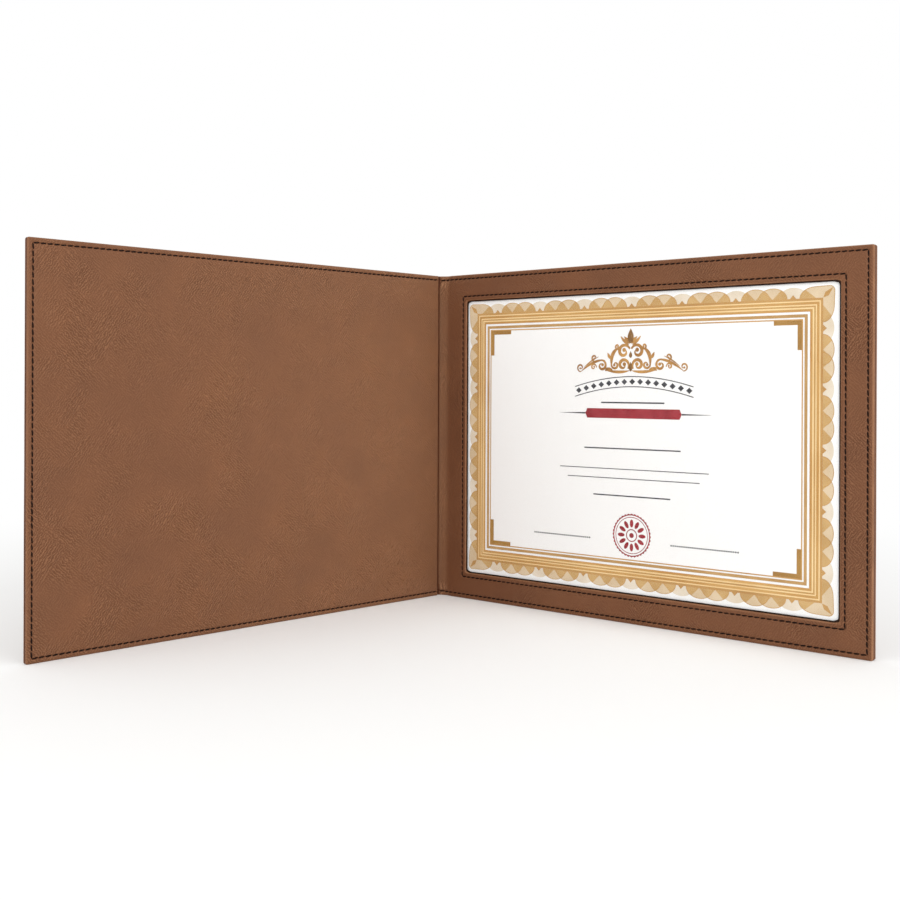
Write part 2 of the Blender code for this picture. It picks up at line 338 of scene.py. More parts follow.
# Thread: waxed spun polyester, twisted, dark brown; a soft sheen on each stitch and darker twist lines
def waxedThread(values):
    material, tree, shader = newMaterial("waxed_polyester_thread")
    uv = addNode(tree, "ShaderNodeUVMap", {}, uv_map="thread").outputs["UV"]
    # Diagonal bands repeat over twice the length of straight ones
    twist = addNode(tree, "ShaderNodeTexWave", {
        "Vector": uv, "Scale": 2 * waveRepeat / (values["twist"] * mm), "Distortion": 0.6},
        bands_direction="DIAGONAL").outputs["Fac"]
    colour = addNode(tree, "ShaderNodeMix", {
        "Factor": twist, "A": linear(values["dark"]), "B": linear(values["light"])},
        data_type="RGBA").outputs["Result"]
    bump = addNode(tree, "ShaderNodeBump", {
        "Strength": 0.4, "Distance": values["twistDepth"] * mm, "Height": twist})
    feed(tree, shader, {
        "Base Color": colour, "Normal": bump.outputs["Normal"], "Roughness": 0.6,
        "Specular IOR Level": 0.1})
    return material


thread = {"dark": "120703", "light": "24120a", "twist": 1.2, "twistDepth": 0.06}  # twist drawn coarse to show
threadMaterial = waxedThread(thread)


# Stock and ink in two close tones that change over a given size
def twoTone(name, values):
    material, tree, shader = newMaterial(name)
    place = addNode(tree, "ShaderNodeTexCoord", {}).outputs["Object"]
    speck = addNode(tree, "ShaderNodeTexNoise", {
        "Vector": place, "Scale": 1 / (values["size"] * mm), "Detail": values["detail"]}).outputs["Fac"]
    speck = addNode(tree, "ShaderNodeMapRange", {
        "Value": speck, "From Min": values["low"], "From Max": values["high"]}).outputs["Result"]
    colour = addNode(tree, "ShaderNodeMix", {
        "Factor": speck, "A": linear(values["dark"]), "B": linear(values["light"])},
        data_type="RGBA").outputs["Result"]
    feed(tree, shader, {
        "Base Color": colour, "Roughness": values["roughness"], "Specular IOR Level": values["specular"]})
    if "bump" in values:
        bump = addNode(tree, "ShaderNodeBump", {
            "Strength": values["bump"], "Distance": values["bumpDepth"] * mm, "Height": speck})
        feed(tree, shader, {"Normal": bump.outputs["Normal"]})
    return material


# Board, card, paper and foam: rolled or foamed flat stock. Its fibres and cells give a faint speckle, drawn
# coarser than real ones, or it wouldn't show.
stockFinish = {"detail": 4.0, "low": 0.3, "high": 0.7, "specular": 0.5, "bumpDepth": 0.05}
stock = {
    "certificate_paper": {"dark": "f6f6f4", "light": "fbfbfa", "size": 0.8, "bump": 0.04, "roughness": 0.75},
    "greyboard": {"dark": "77736c", "light": "9a958c", "size": 1.2, "bump": 0.4, "roughness": 0.9},
    "kraft_card": {"dark": "8b6a49", "light": "a58461", "size": 0.9, "bump": 0.3, "roughness": 0.85},
    "backing_paper": {"dark": "e2ded4", "light": "efece4", "size": 0.8, "bump": 0.2, "roughness": 0.8},
    "polyurethane_foam": {"dark": "c9c4b4", "light": "dcd8ca", "size": 0.7, "bump": 0.6, "roughness": 0.95}}
stockMaterials = {name: twoTone(name, {**stockFinish, **values}) for name, values in stock.items()}


# Film: clear polypropylene, calendered, almost flat; a faint haze and a soft gloss over the sheet
def clearFilm(values):
    material, tree, shader = newMaterial("clear_polypropylene_film")
    place = addNode(tree, "ShaderNodeTexCoord", {}).outputs["Object"]
    ripple = addNode(tree, "ShaderNodeTexNoise", {
        "Vector": place, "Scale": 1 / (values["ripple"] * mm), "Detail": 1.0}).outputs["Fac"]
    bump = addNode(tree, "ShaderNodeBump", {
        "Strength": 0.15, "Distance": values["rippleDepth"] * mm, "Height": ripple})
    feed(tree, shader, {
        "Base Color": linear(values["colour"]), "Alpha": values["haze"], "Roughness": values["roughness"],
        "IOR": 1.49, "Normal": bump.outputs["Normal"]})
    return material


film = {"colour": "f7f9fb", "haze": 0.02, "roughness": 0.12, "ripple": 40, "rippleDepth": 0.2}
filmMaterial = clearFilm(film)

# Ink: offset printed, it lies in the paper's surface, a little uneven in density
inkFinish = {"detail": 2.0, "low": 0.35, "high": 0.65, "roughness": 0.6, "specular": 0.1}
inks = {
    "tan_ink": {"dark": "b98a4a", "light": "c79a5a", "size": 30},
    "gold_ink": {"dark": "bf8d48", "light": "d0a25e", "size": 36},
    "pale_gold_ink": {"dark": "e6c48a", "light": "f0d49e", "size": 30},
    "brown_gold_ink": {"dark": "b58c52", "light": "c39b62", "size": 18},
    "bracket_ink": {"dark": "9f7431", "light": "ad823c", "size": 18},
    "scroll_ink": {"dark": "9c6b2f", "light": "c99752", "size": 9},
    "cream_ink": {"dark": "dfd0b8", "light": "e9decc", "size": 14},
    "pale_sand_ink": {"dark": "d4bc98", "light": "dfcaa9", "size": 14},
    "sand_ink": {"dark": "c29a5e", "light": "cfa96e", "size": 14},
    "red_ink": {"dark": "8e1622", "light": "a22832", "size": 6},
    "charcoal_ink": {"dark": "333337", "light": "4c4c50", "size": 8}}
inkMaterials = {name: twoTone(name, {**inkFinish, **values}) for name, values in inks.items()}
print("materials made:", len(bpy.data.materials))


# Sections of leather in plan: each station has a place, an outward direction and its turned end's depth
def station(at, out, depth, pulledAt=None, pulledOut=None, turnOut=None):
    return {"at": at, "out": out, "depth": depth, "pulledAt": pulledAt or at,
            "pulledOut": pulledOut or out, "turnOut": turnOut or pulledOut or out,
            "relief": 1.0, "shade": 0.0}


def smooth(value):
    value = min(max(value, 0.0), 1.0)
    return value * value * (3 - 2 * value)


def withLengths(section):  # developed length along the section, for the grain to follow
    section[0]["along"] = 0.0
    for before, after in zip(section, section[1:]):
        after["along"] = before["along"] + (after["at"] - before["at"]).length
    return section


def coverColumns(start, stitchPitch, extra=()):  # u of the columns on a flat cover face
    end = coverWidth - endOfCover
    count = round((end - start) / (stitchPitch / 2))
    columns = [start + (end - start) * i / count for i in range(count + 1)]
    columns = [u for u in columns if all(abs(u - line) > 0.45 * stitchPitch for line in extra)]
    return sorted(columns + list(extra))


def cornerPoint(angle, reach, radius):  # on a square corner with a round tip, at an angle from inside
    ray = Vector((math.sin(angle), math.cos(angle)))
    if max(ray) / min(ray) >= reach / (reach - radius):
        return ray * (reach / max(ray))
    middle = Vector((reach - radius, reach - radius))
    along = ray.dot(middle)
    return ray * (along + math.sqrt(along * along - middle.length_squared + radius * radius))


cornerFan = [math.radians(a) for a in (14, 26, 34, 39, 42, 45, 48, 51, 56, 64, 76)]
ringInsets = (4.2, 3.7, 3.4, 3.2, 3.0, 2.8, 2.6, 2.3, 1.7)  # closest together along the seam


def edgeRings(values):  # (inset from the edge, share of the turned depth) from the grid to the turned end
    rings = [(inset, 0.0) for inset in ringInsets]
    roll = values["roll"]
    for step in range(6):
        turn = math.radians(90) * step / 5
        rings.append((roll * (1 - math.sin(turn)), values["rollShare"] * (1 - math.cos(turn))))
    for step in range(1, 4):
        rings.append((0.0, values["rollShare"] + (1 - values["rollShare"]) * step / 3))
    return rings


def bell(distance, width):
    return math.exp(-(distance / width) ** 2)


def seamRelief(inset, values):  # the seam pulls a groove, and the leather swells on both sides of it
    fromSeam = inset - values["seam"]
    groove = -values["groove"] * bell(fromSeam, values["grooveWidth"])
    hem = values["hemSwell"] * bell(inset - values["hemPlace"] * values["seam"], values["hemWidth"])
    field = values["fieldSwell"] * bell(fromSeam - values["fieldGap"], values["fieldWidth"])
    return groove + hem + field


def seamShade(inset, values):  # painted shade in the seam's groove
    return values["seamGrooveShade"] * bell(inset - values["seam"], values["grooveWidth"])


def leatherSheet(name, side, section, values, window=None):
    bm = bmesh.new()
    looks = []  # grain place, wear with painted highlight, and painted shade of each point, in the order they are made
    count = values["rows"]
    rows = [endOfCover + (coverHeight - 2 * endOfCover) * i / count for i in range(count + 1)]
    if window:
        lines = [window["low"][1] - endOfCover, window["high"][1] + endOfCover]
        rows = sorted([h for h in rows if all(abs(h - line) > values["rowGap"] for line in lines)] + lines)
    last = section[-1]

    def pull(h):  # the end seams draw the spine strip back
        return smooth(1 - (min(h, coverHeight - h) - values["pullStart"]) / values["pullReach"])

    def put(stop, past, h, lift, depth=0.0, outside=(0.0, 0.0), wornAndLit=0.0, dark=0.0):
        share = pull(h)
        at = stop["at"].lerp(stop["pulledAt"], share) + across * past
        out = stop["out"].lerp(stop["pulledOut"], share).normalized()
        spot = Vector((stop["along"] + past, h, values["seed"])) / values["waveSize"]
        wave = values["wave"] * noise.noise(spot)
        vertex = bm.verts.new(inSpace(at + out * (lift + wave) - stop["turnOut"] * depth, h, side))
        along = side * (stop["along"] + values["uvStart"] + past + outside[0])
        looks.append(((along * mm, (h + outside[1]) * mm), wornAndLit, dark))
        return vertex

    def shadeAt(along):  # painted shade, from foldShade by the fold to farShade, with a light strip up to foldStart
        near, far = values["foldShade"], values["farShade"]
        fade = near + (far - near) * smooth(along / values["foldReach"])
        return fade * smooth((along - values["foldStart"]) / values["foldBlend"])

    def puckerAt(stop, h):  # small gathers where the end seams cross the spine strip
        fromEdge = min(h, coverHeight - h)
        share = stop.get("strip", 0.0) * bell(fromEdge - values["puckerInset"], values["puckerReach"])
        return values["pucker"] * share * math.cos(math.tau * stop["along"] / values["puckerPitch"])

    grid = []
    for j, stop in enumerate(section):
        column = []
        fromEnd = endOfCover + last["along"] - stop["along"]
        for h in rows:
            lift = seamRelief(min(h, coverHeight - h, fromEnd), values) * stop["relief"] + puckerAt(stop, h)
            if window and window["columns"][0] < j < window["columns"][1] and lines[0] < h < lines[1]:
                column.append(None)
                continue
            if window and "u" in stop:
                beside = max(window["low"][0] - stop["u"], stop["u"] - window["high"][0],
                             window["low"][1] - h, h - window["high"][1])
                lift += seamRelief(beside, values)
            # painted highlight on the crests of the gathers
            rubbedAndLit = values["puckerHighlight"] * max(puckerAt(stop, h), 0.0)
            dark = max(shadeAt(stop["along"]), stop["shade"])
            column.append(put(stop, 0.0, h, lift, wornAndLit=rubbedAndLit, dark=dark))
        grid.append(column)
    for left, right in zip(grid, grid[1:]):
        for corners in zip(left, right, right[1:], left[1:]):
            if all(corners):
                bm.faces.new(corners)
    # Rings from the grid to the three sewn edges and over them
    columns, top = range(len(section)), len(rows) - 1
    inner = [column[top] for column in grid] + [grid[-1][top]] * len(cornerFan)
    inner += grid[-1][::-1] + [grid[-1][0]] * len(cornerFan) + [column[0] for column in grid][::-1]
    for inset, share in edgeRings(values):
        reach = endOfCover - inset
        lift = seamRelief(inset, values)
        # rubbed wear with a painted highlight on the roll
        wornAndLit = values["wearAndHighlight"] * (1.0 if 0.05 < share < 0.95 * values["rollShare"] + 0.05 else 0.0)
        # painted shade on the turned end
        dark = values["edgeTone"] * smooth(share / values["rollShare"])
        if share == 0:
            dark = seamShade(inset, values)
        # painted shade, almost black, in the gap where the two layers part
        dark += values["partShade"] * smooth((share - 0.7) / 0.2)
        radius = max(values["cornerRadius"] - inset, 0.05)

        def edge(stop, past, h, rise, run):
            depth = share * stop["depth"]
            lifted = lift * stop["relief"] + puckerAt(stop, h) * (1 - share)
            return put(stop, past, h, lifted, depth, (run * depth, rise * depth), wornAndLit,
                       max(shadeAt(stop["along"] + past), dark, stop["shade"]))

        outer = [edge(section[j], 0.0, coverHeight - inset, 1, 0) for j in columns]
        for angle in cornerFan:
            p, q = cornerPoint(angle, reach, radius)
            outer.append(edge(last, p, rows[top] + q, 1, 1))
        outer += [edge(last, reach, h, 0, 1) for h in reversed(rows)]
        for angle in reversed(cornerFan):
            p, q = cornerPoint(angle, reach, radius)
            outer.append(edge(last, p, rows[0] - q, -1, 1))
        outer += [edge(section[j], 0.0, inset, -1, 0) for j in reversed(columns)]
        joinRings(bm, inner, outer)
        inner = outer
    if window:
        windowRings(bm, grid, rows, lines, section, values, window, put, shadeAt)
    bmesh.ops.recalc_face_normals(bm, faces=bm.faces)
    bm.normal_update()
    facing = grid[-2][top // 2].link_faces[0].normal
    if facing.dot(flat(last["out"], side)) < 0:
        bmesh.ops.reverse_faces(bm, faces=bm.faces)
    leatherUv = bm.loops.layers.uv.new("leather")
    wearAndHighlightLayer = bm.verts.layers.float.new("wearAndHighlight")
    shadeLayer = bm.verts.layers.float.new("shade")
    for vertex, (grainPlace, wornAndLit, dark) in zip(bm.verts, looks):
        vertex[wearAndHighlightLayer] = wornAndLit
        vertex[shadeLayer] = dark
        for loop in vertex.link_loops:
            loop[leatherUv].uv = grainPlace
    return finishPiece(name, bm, values["material"], thickness=values["thickness"])


def joinRings(bm, inner, outer):
    for a, b, c, d in zip(inner, outer, outer[1:], inner[1:]):
        corners = list(dict.fromkeys((a, b, c, d)))
        if len(corners) > 2:
            bm.faces.new(corners)


# Seam and lip round the window; past the lip a dark ledge stands in for the lip's shadow on the film
def windowRings(bm, grid, rows, lines, section, values, window, put, shadeAt):
    first, final = window["columns"]
    low, high = rows.index(lines[0]), rows.index(lines[1])
    path = [(j, low) for j in range(first, final)] + [(final, i) for i in range(low, high)]
    path += [(j, high) for j in range(final, first, -1)] + [(first, i) for i in range(high, low, -1)]
    path.append(path[0])
    inner = [grid[j][i] for j, i in path]
    centre = [(a + b) / 2 for a, b in zip(window["low"], window["high"])]
    half = [(b - a) / 2 for a, b in zip(window["low"], window["high"])]
    rings = [(inset, 0.0) for inset in ringInsets]
    roll = window["roll"]
    for step in range(5):
        turn = math.radians(90) * step / 4
        rings.append((roll * (1 - math.sin(turn)), roll * (1 - math.cos(turn))))
    # past the roll, a ledge that stands in for the lip's shadow on the film, with the darkest painted shade
    rings += [(0.0, window["depth"] - 0.15), (-window["ledge"], window["depth"] - 0.1),
              (-window["ledge"], window["depth"])]
    for inset, drop in rings:
        outer = []
        for j, i in path[:-1]:
            spot = [section[j]["u"] - centre[0], rows[i] - centre[1]]
            spot = [value * (h + inset) / (h + endOfCover) for value, h in zip(spot, half)]
            radius = window["cornerRadius"] * (1 - inset / endOfCover)
            spot = roundCorner(spot, [h + inset for h in half], radius)
            u, h = spot[0] + centre[0], spot[1] + centre[1]
            stop = station(onCover(u, facingHigh[2]), inward, 0.0)
            stop["along"] = section[j]["along"] + u - section[j]["u"]
            # rubbed wear with a painted highlight on the lip's roll
            wornAndLit = values["wearAndHighlight"] * (0.8 if 0.02 < drop < roll + 0.02 else 0.0)
            # painted shade; the ledge past the roll takes the darkest
            dark = max(shadeAt(stop["along"]), seamShade(inset, values))
            dark = dark if drop <= roll else window["edgeShade"]
            outer.append(put(stop, 0.0, h, seamRelief(inset, values) - drop, wornAndLit=wornAndLit, dark=dark))
        outer.append(outer[0])
        joinRings(bm, inner, outer)
        inner = outer


def roundCorner(spot, half, radius):  # moves points near a corner of a rectangle on to its rounding
    gap = [h - abs(value) for value, h in zip(spot, half)]
    if radius < 0.05 or max(gap) > radius:
        return spot
    turn = math.radians(45) - math.radians(45) * (gap[1] - gap[0]) / radius
    corner = [h - radius + radius * f for h, f in zip(half, (math.cos(turn), math.sin(turn)))]
    return [math.copysign(value, old) for value, old in zip(corner, spot)]


def finishPiece(name, bm, material, thickness=0.0):
    mesh = bpy.data.meshes.new(name)
    bm.to_mesh(mesh)
    bm.free()
    piece = bpy.data.objects.new(name, mesh)
    scene.collection.objects.link(piece)
    mesh.materials.append(material)
    if thickness:
        shell = piece.modifiers.new("thickness", "SOLIDIFY")
        shell.thickness = thickness * mm
        shell.offset = -1
        shell.use_even_offset = False
        evaluated = piece.evaluated_get(bpy.context.evaluated_depsgraph_get())
        solid = bpy.data.meshes.new_from_object(evaluated)
        piece.modifiers.clear()
        piece.data = solid
        for vertex in solid.vertices:  # nothing stands above or below the covers
            vertex.co.z = min(max(vertex.co.z, 0.0), coverHeight * mm)
    piece.data.shade_smooth()
    piece.data.set_sharp_from_angle(angle=math.radians(55))
    return piece


# Front lining: flat field, rolled and sewn on three sides; on the fourth it drops into the front crease
stitch = {"pitch": 3.85, "share": 0.9, "width": 0.96, "height": 0.66, "inset": 3.0, "tilt": 8.0,
          "rise": 0.32, "dip": 0.42, "tip": 0.12, "sink": 0.75}
# The shade values below are painted shade: the lining darkens towards its free edge, and turned ends, partings and the
# seam's groove darken too; wear is rubbed wear with a painted highlight
sheetValues = {
    "rows": 112, "roll": 1.0, "rollShare": 0.5, "cornerRadius": 1.2, "groove": 0.4, "grooveWidth": 0.5,
    "seam": stitch["inset"], "hemSwell": 0.12, "hemPlace": 0.55, "hemWidth": 0.9, "fieldSwell": 0.14,
    "fieldGap": 2.0, "fieldWidth": 2.6, "rowGap": 0.9, "wave": 0.12, "waveSize": 34.0, "seed": 3.0,
    "pullStart": 2.0, "pullReach": 9.0, "pucker": 0.0, "puckerHighlight": 0.0, "puckerInset": 5.5,
    "puckerReach": 2.6, "puckerPitch": 2.4, "foldShade": 0.0, "farShade": 0.26, "foldStart": 0.0,
    "foldBlend": 4.0, "foldReach": coverWidth, "wearAndHighlight": 0.2, "edgeTone": 0.1, "partShade": 1.0,
    "seamGrooveShade": 0.6, "uvStart": 0.0, "thickness": 0.55, "material": innerLeatherette}
liningFold = {"onSpine": ((4.2, 1.05), (5.0, 1.15)), "rise": (1.2, 1.7), "roll": 1.0, "steps": 5,
              "depth": 0.5, "margin": 1.2, "shade": 1.5}


def liningSection():
    face, edgeU, roll, steps = liningHigh[2], liningLow[0], liningFold["roll"], liningFold["steps"]
    depth = face - liningLow[2]
    section = []
    for x, w in liningFold["onSpine"]:
        section.append(station(onSpine(x, w), Vector((0.0, -1.0)), liningFold["depth"]))
    for v in (*liningFold["rise"], face - roll):
        section.append(station(onCover(edgeU, v), -across, liningFold["depth"]))
    for step in range(1, steps + 1):
        turn = math.radians(90) * step / steps
        out = (-across * math.cos(turn) + inward * math.sin(turn)).normalized()
        at = onCover(edgeU + roll, face - roll) + out * roll
        section.append(station(at, out, depth * step / steps))
    for number, stop in enumerate(section):
        stop["relief"] = 0.0  # the inner edge lies against the board
        # painted shade in the front crease, on the first stations
        stop["shade"] = liningFold["shade"] * smooth((8 - number) / 4)
    for u in coverColumns(edgeU + roll + liningFold["margin"], stitch["pitch"]):
        section.append(station(onCover(u, face), inward, depth))
    return withLengths(section)


lining = leatherSheet("front_lining_leatherette", front, liningSection(), sheetValues)
print("front lining:", len(lining.data.vertices), "points")

# Frame leatherette: it starts in the front crease, bridges the spine and covers the frame round the window
strip = {"start": (-4.8, 1.35), "reach": 5.0, "lead": (3.1, 0.85), "land": 4.5,
         "pulledLead": (5.6, 0.1), "pulledLand": 2.2, "stops": 16, "parting": 0.55, "shade": 1.4}
border = 18.4
window = {"low": [border, border], "high": [coverWidth - border, coverHeight - border],
          "roll": 0.8, "depth": 1.2, "ledge": 0.9, "cornerRadius": 2.1, "edgeShade": 1.9}


def stripCurve(t, lead, land):
    begin = onSpine(*strip["start"])
    finish = onCover(strip["reach"], facingHigh[2])
    handles = [begin, begin + Vector((lead[0], -lead[1])), finish - across * land, finish]
    weights = [(1 - t) ** 3, 3 * t * (1 - t) ** 2, 3 * t * t * (1 - t), t ** 3]
    slopes = [-3 * (1 - t) ** 2, 3 * (1 - t) ** 2 - 6 * t * (1 - t), 6 * t * (1 - t) - 3 * t * t,
              3 * t * t]
    at = sum((h * w for h, w in zip(handles, weights)), Vector((0.0, 0.0)))
    slope = sum((h * w for h, w in zip(handles, slopes)), Vector((0.0, 0.0))).normalized()
    return at, Vector((slope.y, -slope.x))


def frameSection():
    face = facingHigh[2]
    depth = face - facingLow[2]
    section = []
    for step in range(strip["stops"]):
        t = step / strip["stops"]
        at, out = stripCurve(t, strip["lead"], strip["land"])
        pulledAt, pulledOut = stripCurve(t, strip["pulledLead"], strip["pulledLand"])
        toParting = (creaseY - pulledAt.y - strip["parting"]) / max(-pulledOut.y, 0.7)
        endDepth = toParting + (depth - toParting) * smooth((t - 0.45) / 0.35)
        stop = station(at, out, endDepth, pulledAt, pulledOut)
        stop["strip"] = smooth(t / 0.15) * smooth((0.75 - t) / 0.2)
        # painted shade where the strip leaves the front crease
        stop["shade"] = strip["shade"] * smooth((0.16 - t) / 0.1)
        section.append(stop)
    lines = [window["low"][0] - endOfCover, window["high"][0] + endOfCover]
    for u in coverColumns(strip["reach"], stitch["pitch"], lines):
        stop = station(onCover(u, face), inward, depth)
        stop["u"] = u
        section.append(stop)
    return withLengths(section), lines


frameStops, windowLines = frameSection()
frameColumns = [stop.get("u") for stop in frameStops]
window["columns"] = [frameColumns.index(line) for line in windowLines]
# Frame: painted shade, darkest by the fold and lighter but still darkened towards its far edge; painted highlights on
# the pucker crests and, with wear, on its rolled edges
frameValues = {**sheetValues, "seed": 7.0, "pucker": 0.4, "puckerHighlight": 2.0, "wearAndHighlight": 0.55, "edgeTone": 0.0,
               "partShade": 0.7, "foldShade": 0.46, "farShade": 0.32, "foldStart": 6.0,
               "foldReach": 150.0, "uvStart": 400.0}
frameLeather = leatherSheet("frame_leatherette", back, frameStops, frameValues, window)
print("frame leatherette:", len(frameLeather.data.vertices), "points")


# Outer cover: two halves that meet on the middle of the spine, bent round the creases, padded over boards
coverBend = {"pastAxes": 0.25, "spineSteps": 3.2, "deepen": 0.06, "margin": 1.5, "depthBlend": 3.4}


def coverSection(side):
    section = []
    spineDepth = -skinFace + coverBend["pastAxes"]
    for step in range(4):
        at = onSpine(creaseX * step / coverBend["spineSteps"], skinFace)
        section.append(station(at, Vector((0.0, 1.0)), spineDepth))
    coverDepth = skinHigh[side][2] - skinFace
    bend = math.acos(across.x)

    def leaning(share):
        return Vector((math.sin(bend * share), math.cos(bend * share)))

    section[-1]["turnOut"] = leaning(0.2)
    for step in range(5):
        out = leaning(step / 4)
        at = Vector((creaseX, creaseY)) - out * skinFace
        depth = spineDepth + coverBend["deepen"] * step
        section.append(station(at, out, depth, turnOut=leaning(0.3 + 0.1 * step)))
    for u in coverColumns(coverBend["margin"], stitch["pitch"]):
        depth = spineDepth + (coverDepth - spineDepth) * smooth(u / coverBend["depthBlend"])
        section.append(station(onCover(u, skinFace), -inward, depth))
    return withLengths(section)


outerValues = {**sheetValues, "material": outerLeatherette, "farShade": 0.0, "fieldSwell": 0.22, "wave": 0.16,
               "waveSize": 40.0}
covers = {}
# The front cover's turned end gets painted shade, as it faces away from the light; the back cover's rolled edges get a
# painted highlight with their wear
edges = {front: {"edgeTone": 0.3, "seed": 10.0},
         back: {"edgeTone": 0.0, "partShade": 0.7, "wearAndHighlight": 0.5, "seed": 12.0}}
for side, name in ((front, "front_cover_leatherette"), (back, "back_cover_leatherette")):
    covers[side] = leatherSheet(name, side, coverSection(side), {**outerValues, **edges[side]})
    print(name, len(covers[side].data.vertices), "points")


# Stitches: each one a short padded capsule that dips into the leather at both ends
def addStitch(bm, uvLayer, begin, finish, out, values):
    along = finish - begin
    length = along.length * values["share"]
    along.normalize()
    lie = Matrix.Rotation(math.radians(values["tilt"]), 3, out) @ along
    beside = lie.cross(out).normalized()
    middle = (begin + finish) / 2
    rings, sides = 7, 8
    loops = []
    for r in range(rings):
        s = -1 + 2 * r / (rings - 1)
        girth = math.sqrt(max(1 - abs(s) ** 4, values["tip"]))
        rise = values["rise"] * values["height"] - values["dip"] * values["height"] * s ** 4
        centre = middle + lie * (s * length / 2) + out * rise
        loop = []
        for k in range(sides):
            turn = math.tau * k / sides
            offset = beside * (math.cos(turn) * values["width"] / 2)
            offset = offset + out * (math.sin(turn) * values["height"] / 2)
            loop.append(bm.verts.new((centre + offset * girth) * mm))
        loops.append(loop)
    faces = []
    for a, b in zip(loops, loops[1:]):
        for k in range(sides):
            faces.append(bm.faces.new((a[k], a[(k + 1) % sides], b[(k + 1) % sides], b[k])))
    faces += [bm.faces.new(loops[0][::-1]), bm.faces.new(loops[-1])]
    for face in faces:
        for loop in face.loops:
            reach = (loop.vert.co / mm - middle).dot(lie)
            turn = (loop.vert.co / mm - middle).dot(beside)
            loop[uvLayer].uv = (reach * mm, turn * mm)


def sewn(name, runs, values=stitch):  # runs: (points of the seam line in mm, outward direction of each point)
    bm = bmesh.new()
    uvLayer = bm.loops.layers.uv.new("thread")
    for points, outs in runs:
        lengths = [0.0]
        for a, b in zip(points, points[1:]):
            lengths.append(lengths[-1] + (b - a).length)
        count = max(round(lengths[-1] / values["pitch"]), 1)

        def spot(reach):
            for k in range(1, len(lengths)):
                if reach <= lengths[k] + 1e-6:
                    share = (reach - lengths[k - 1]) / (lengths[k] - lengths[k - 1])
                    out = outs[k - 1].lerp(outs[k], share).normalized()
                    return points[k - 1].lerp(points[k], share), out

        for number in range(count):
            begin, out = spot(lengths[-1] * number / count)
            finish, _ = spot(lengths[-1] * (number + 1) / count)
            addStitch(bm, uvLayer, begin, finish, out, values)
    bmesh.ops.recalc_face_normals(bm, faces=bm.faces)
    return finishPiece(name, bm, threadMaterial)


# How far each seam starts from the crease or edge beside it
seamStart = {"lining": 1.6, "frame": 7.0, "cover": 1.4, "strip": 1.0, "spine": 0.8}
seamSink = sheetValues["groove"] * stitch["sink"]  # stitches lie this deep in the seam's groove
seamEnds = (stitch["inset"], coverHeight - stitch["inset"])


def seamPoint(plan, h, side):
    return Vector((side * plan.x, plan.y, h))


def coverSeam(side, face, outward, corners):  # straight runs on a cover, from corner to corner
    level = face - outward * seamSink
    out = flat(inward * outward, side)
    points = [seamPoint(onCover(u, level), h, side) for u, h in corners]
    return [([a, b], [out, out]) for a, b in zip(points, points[1:])]


def edgeSeam(side, face, outward, start):  # three sides of a cover, at the seam's inset
    far = coverWidth - stitch["inset"]
    low, high = seamEnds
    return coverSeam(side, face, outward, [(start, high), (far, high), (far, low), (start, low)])


def windowSeam():
    left, low = [value - stitch["inset"] for value in window["low"]]
    right, high = [value + stitch["inset"] for value in window["high"]]
    corners = [(left, low), (right, low), (right, high), (left, high), (left, low)]
    return coverSeam(back, facingHigh[2], 1, corners)


def spineSeamInside():  # across the bridging strip, at both ends
    runs = []
    stops = [stop for stop in frameStops
             if stop["along"] > seamStart["strip"] and stop.get("u", 0) <= seamStart["frame"]]
    for h in seamEnds:
        points = [seamPoint(stop["pulledAt"] - stop["pulledOut"] * seamSink, h, back) for stop in stops]
        runs.append((points, [flat(stop["pulledOut"], back) for stop in stops]))
    return runs


def spineSeamOutside():
    out = Vector((0.0, 1.0, 0.0))
    reach = creaseX - seamStart["spine"]
    runs = []
    for h in seamEnds:
        points = [seamPoint(onSpine(x, skinFace + seamSink), h, back) for x in (-reach, reach)]
        runs.append((points, [out, out]))
    return runs


seams = {
    "front_edge_stitches_inside": (edgeSeam(front, liningHigh[2], 1, liningLow[0] + seamStart["lining"]),
                                   "front_cover", ["front_edge_thread"]),
    "front_edge_stitches_outside": (edgeSeam(front, skinFace, -1, seamStart["cover"]),
                                    "front_cover", ["front_edge_bobbin_thread"]),
    "back_edge_stitches_inside": (edgeSeam(back, facingHigh[2], 1, seamStart["frame"]),
                                  "back_cover", ["back_edge_thread"]),
    "back_edge_stitches_outside": (edgeSeam(back, skinFace, -1, seamStart["cover"]),
                                   "back_cover", ["back_edge_bobbin_thread"]),
    "window_stitches": (windowSeam(), "back_cover", ["window_thread"]),
    "spine_stitches_outside": (spineSeamOutside(), "spine",
                               ["spine_top_bobbin_thread", "spine_bottom_bobbin_thread"])}
for name, (runs, body, threads) in seams.items():
    piece = sewn(name, runs)
    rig.ride(piece, body)
    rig.replaces(piece, *threads)
    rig.slot(piece, "thread")
spineStitches = sewn("spine_stitches_inside", spineSeamInside())
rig.replaces(spineStitches, "spine_top_thread", "spine_bottom_thread")
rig.slot(spineStitches, "thread")
print("seams sewn:", len(seams) + 1)

# Leather and stitches that cross a crease bend with it, over a short stretch by its axis
creaseBlend = {"frameEnd": 2.2, "lining": (0.5, 1.5), "liningLevel": 0.6, "cover": (-0.7, 0.7)}
stripBegin = inSpace(onSpine(*strip["start"]), 0.0)
stripEnd = inSpace(onCover(creaseBlend["frameEnd"], facingHigh[2]), 0.0)
liningBegin, liningEnd = [inSpace(onCover(u, creaseBlend["liningLevel"]), 0.0, front)
                          for u in creaseBlend["lining"]]
for piece in (frameLeather, spineStitches):
    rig.blend(piece, "spine", "back_cover", start=stripBegin, end=stripEnd)
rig.blend(lining, "spine", "front_cover", start=liningBegin, end=liningEnd)
for side, body in ((front, "front_cover"), (back, "back_cover")):
    coverBegin, coverEnd = [inSpace(onCover(u, 0.0), 0.0, side) for u in creaseBlend["cover"]]
    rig.blend(covers[side], "spine", body, start=coverBegin, end=coverEnd)
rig.replaces(lining, "front_lining")
